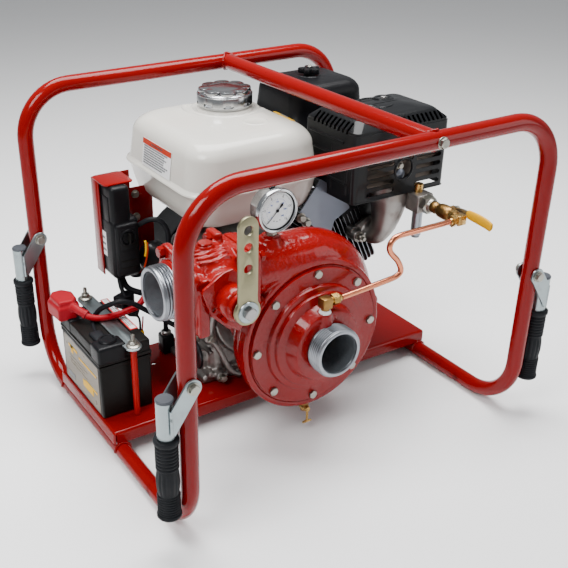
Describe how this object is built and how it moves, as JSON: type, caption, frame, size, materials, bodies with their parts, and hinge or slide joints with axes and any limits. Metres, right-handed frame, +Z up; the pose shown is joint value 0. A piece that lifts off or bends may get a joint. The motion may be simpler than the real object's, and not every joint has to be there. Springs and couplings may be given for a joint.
{
  "type": "portable fire pump",
  "caption": "Engine-driven centrifugal pump on a base plate inside a tube frame, with a battery, a lever-worked discharge valve and fold-down carrying handles.",
  "frame": {"origin": "on the ground, midway between the four legs", "axes": "+X along the base plate towards the muffler, -Y out of the suction nozzle, +Z up"},
  "size_m": [0.6936, 0.569, 0.5167],
  "materials": {
    "aluminium": "cast",
    "black_paint": "heat resistant satin",
    "black_plastic": "textured",
    "brass": "machined",
    "bronze": "cast bronze",
    "cadmium": "yellow passivated",
    "copper": "drawn copper tube",
    "engine_black": "black heat resistant coat",
    "ivory_paint": "gloss",
    "red_paint": "gloss powder coat",
    "red_plastic": "moulded",
    "rubber": "moulded",
    "steel": "bright",
    "yellow_plastic": "dipped sleeve",
    "zinc": "zinc plated"
  },
  "bodies": {
    "pump_set": {"air_cleaner_base": "black_plastic", "air_cleaner_cover": "black_plastic", "base_plate": "red_paint", "battery_case": "black_plastic", "battery_lid": "black_plastic", "blower_housing": "black_paint", "carburettor": "aluminium", "clamp_rod_front": "red_plastic", "clamp_rod_rear": "red_plastic", "clamp_strap": "zinc", "control_box": "black_plastic", "control_bracket": "red_paint", "crankcase": "aluminium", "cylinder_block": "engine_black", "discharge_nozzle": "aluminium", "discharge_valve_body": "red_paint", "drain_cock": "brass", "front_hoop": "red_paint", "fuel_tank": "ivory_paint", "hoop_bolt": "zinc", "hub_elbow": "brass", "muffler": "steel", "muffler_guard": "black_paint", "negative_cable": "rubber", "positive_boot": "red_plastic", "positive_cable": "red_plastic", "pressure_gauge": "steel", "primer_ejector": "aluminium", "primer_line": "copper", "primer_valve_body": "brass", "pump_bracket": "red_paint", "rear_hoop": "red_paint", "recoil_cover": "black_paint", "skid_tube_left": "red_paint", "skid_tube_right": "red_paint", "starter_motor": "black_paint", "suction_cover": "red_paint", "suction_nozzle": "aluminium", "top_cross_tube": "red_paint", "volute_casing": "red_paint"},
    "handle_rear_left": {"handle_arm_rear_left": "zinc", "handle_grip_rear_left": "rubber"},
    "handle_front_left": {"handle_arm_front_left": "zinc", "handle_grip_front_left": "rubber"},
    "handle_front_right": {"handle_arm_front_right": "zinc", "handle_grip_front_right": "rubber"},
    "handle_rear_right": {"handle_arm_rear_right": "zinc", "handle_grip_rear_right": "rubber"},
    "discharge_lever": {"valve_lever": "cadmium"},
    "discharge_ball": {"valve_ball": "steel"},
    "primer_lever": {"primer_valve_lever": "yellow_plastic"},
    "drain_tee": {"drain_handle": "brass"},
    "rotor": {"crankshaft": "steel", "flywheel": "aluminium", "impeller": "bronze"},
    "tank_cap": {"fuel_cap": "zinc"},
    "cleaner_knob": {"air_cleaner_knob": "black_plastic"},
    "start_key": {"key_switch": "steel"},
    "recoil_grip": {"recoil_handle": "black_plastic"},
    "needle": {"gauge_needle": "black_plastic"}
  },
  "joints": [
    {"name": "handle_rear_left_fold", "type": "hinge", "parent": "pump_set", "child": "handle_rear_left", "pos_m": [-0.298, 0.2637, 0.2583], "axis": [0, 1, 0], "range_deg": [0, 80]},
    {"name": "handle_front_left_fold", "type": "hinge", "parent": "pump_set", "child": "handle_front_left", "pos_m": [-0.298, -0.2637, 0.2583], "axis": [0, 1, 0], "range_deg": [0, 80]},
    {"name": "handle_front_right_fold", "type": "hinge", "parent": "pump_set", "child": "handle_front_right", "pos_m": [0.298, -0.2637, 0.2583], "axis": [0, -1, 0], "range_deg": [0, 80]},
    {"name": "handle_rear_right_fold", "type": "hinge", "parent": "pump_set", "child": "handle_rear_right", "pos_m": [0.298, 0.2637, 0.2583], "axis": [0, -1, 0], "range_deg": [0, 80]},
    {"name": "discharge_lever_turn", "type": "hinge", "parent": "pump_set", "child": "discharge_lever", "pos_m": [-0.172, -0.1995, 0.294], "axis": [0, -1, 0], "range_deg": [0, 90]},
    {"name": "discharge_ball_turn", "type": "hinge", "parent": "pump_set", "child": "discharge_ball", "pos_m": [-0.172, -0.092, 0.294], "axis": [0, -1, 0], "range_deg": [0, 90]},
    {"name": "primer_lever_turn", "type": "hinge", "parent": "pump_set", "child": "primer_lever", "pos_m": [0.2525, -0.136, 0.3265], "axis": [1, 0, 0], "range_deg": [0, 90]},
    {"name": "drain_tee_turn", "type": "hinge", "parent": "pump_set", "child": "drain_tee", "pos_m": [-0.014, -0.129, 0.04], "axis": [0, -1, 0], "range_deg": [0, 90]},
    {"name": "rotor_spin", "type": "hinge", "parent": "pump_set", "child": "rotor", "pos_m": [-0.01, 0, 0.176], "axis": [0, 1, 0], "continuous": true},
    {"name": "tank_cap_twist", "type": "hinge", "parent": "pump_set", "child": "tank_cap", "pos_m": [0.02, 0.18, 0.454], "axis": [0, 0, 1], "range_deg": [0, 90]},
    {"name": "cleaner_knob_turn", "type": "hinge", "parent": "pump_set", "child": "cleaner_knob", "pos_m": [0.186, 0.174, 0.484], "axis": [0, 0, 1], "continuous": true},
    {"name": "start_key_turn", "type": "hinge", "parent": "pump_set", "child": "start_key", "pos_m": [-0.199, 0.113, 0.29], "axis": [0, 1, 0], "range_deg": [0, 60]},
    {"name": "recoil_grip_pull", "type": "slide", "parent": "pump_set", "child": "recoil_grip", "axis": [0, 1, 0], "range_m": [0, 0.5], "stiffness_N_per_m": 20},
    {"name": "needle_swing", "type": "hinge", "parent": "pump_set", "child": "needle", "pos_m": [-0.069, -0.118, 0.386], "axis": [0, 1, 0], "range_deg": [0, 270], "stiffness_Nm_per_rad": 0.0005}
  ],
  "couplings": [
    {"joint": "discharge_ball_turn", "follows": "discharge_lever_turn", "ratio": 1}
  ]
}
